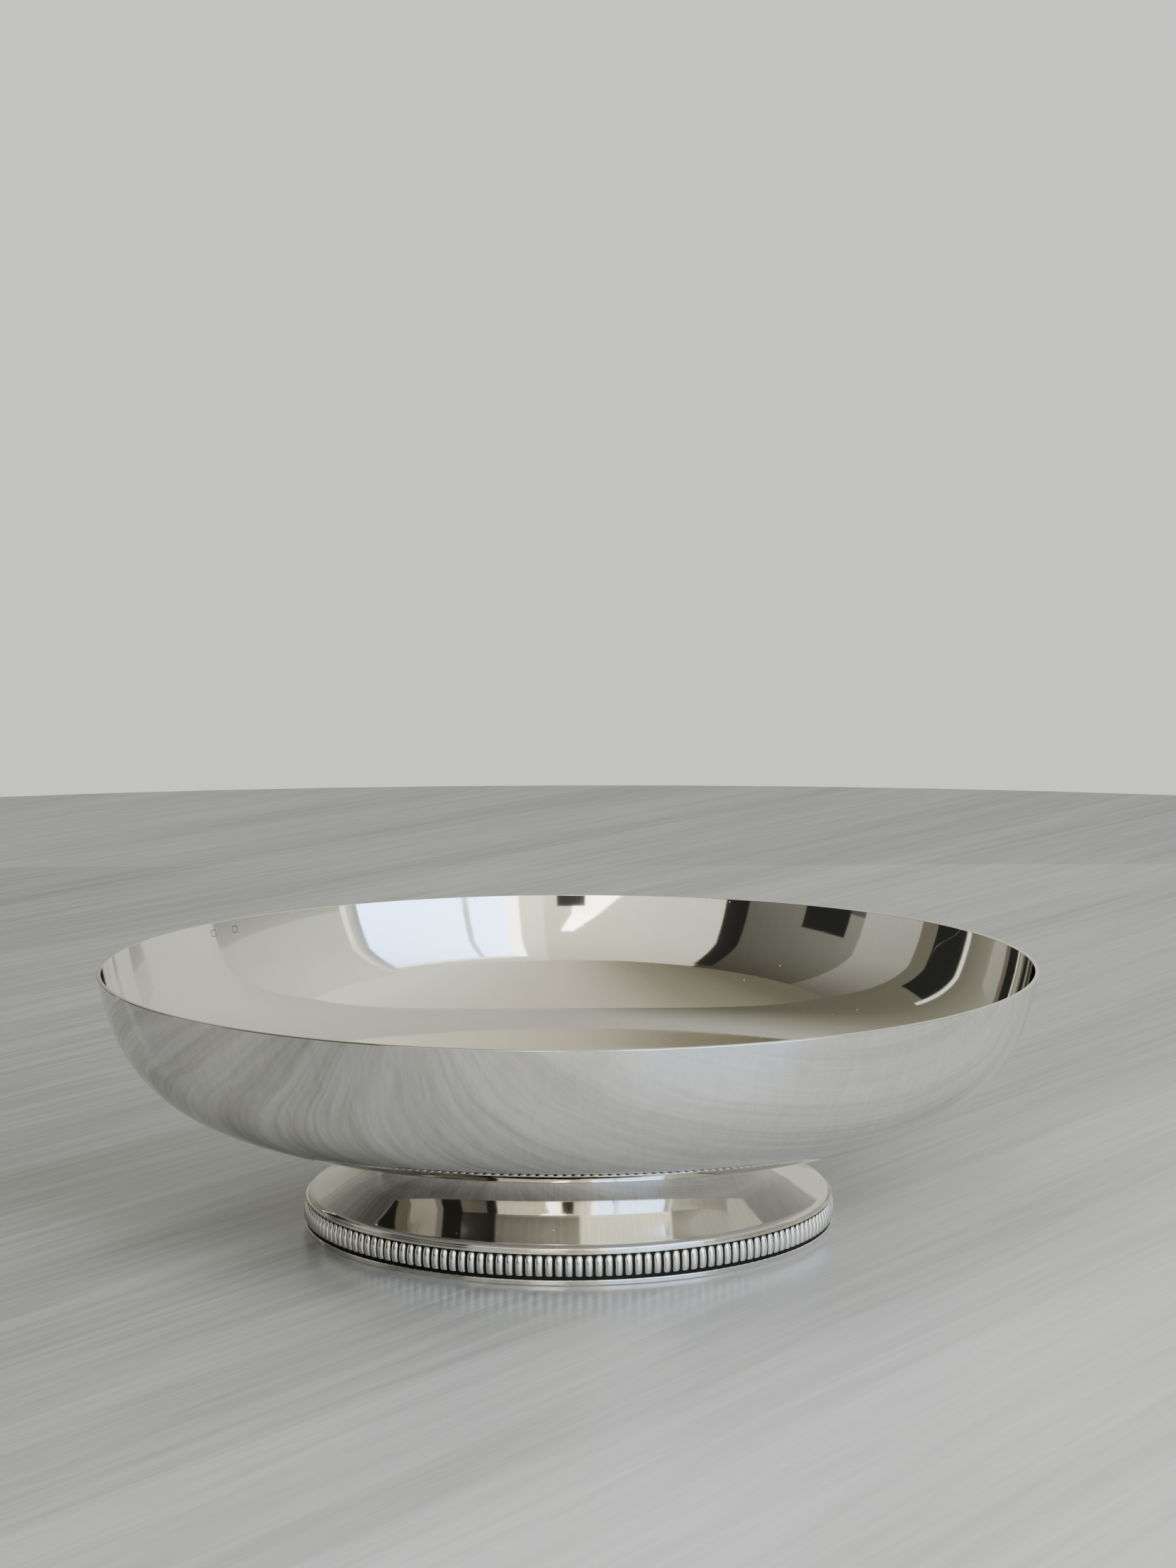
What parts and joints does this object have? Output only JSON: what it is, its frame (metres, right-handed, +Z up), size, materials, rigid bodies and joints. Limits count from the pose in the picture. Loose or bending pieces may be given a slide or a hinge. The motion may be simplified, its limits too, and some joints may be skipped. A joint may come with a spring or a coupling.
{
  "type": "punch bowl",
  "caption": "Shallow round punch bowl in silver-plated metal on a low spreading foot with a reeded applied border.",
  "frame": {"origin": "on the bowl's axis, at the plane of the table that the foot stands on", "axes": "+Z is up along the axis of revolution; +X and +Y are any two level directions, because the bowl is round"},
  "size_m": [0.3398, 0.3398, 0.0954],
  "materials": {
    "silver_plate_bowl": "mirror-polished silver plate with fine rubbing marks",
    "silver_plate_foot": "mirror-polished silver plate, lightly worn",
    "silver_plate_border": "polished silver plate with dark tarnish in the gaps"
  },
  "bodies": {
    "root": {"bowl_shell": "silver_plate_bowl", "foot_shell": "silver_plate_foot", "edge_wire": "silver_plate_border", "reeded_border": "silver_plate_border", "base_ring": "silver_plate_foot"}
  },
  "joints": []
}
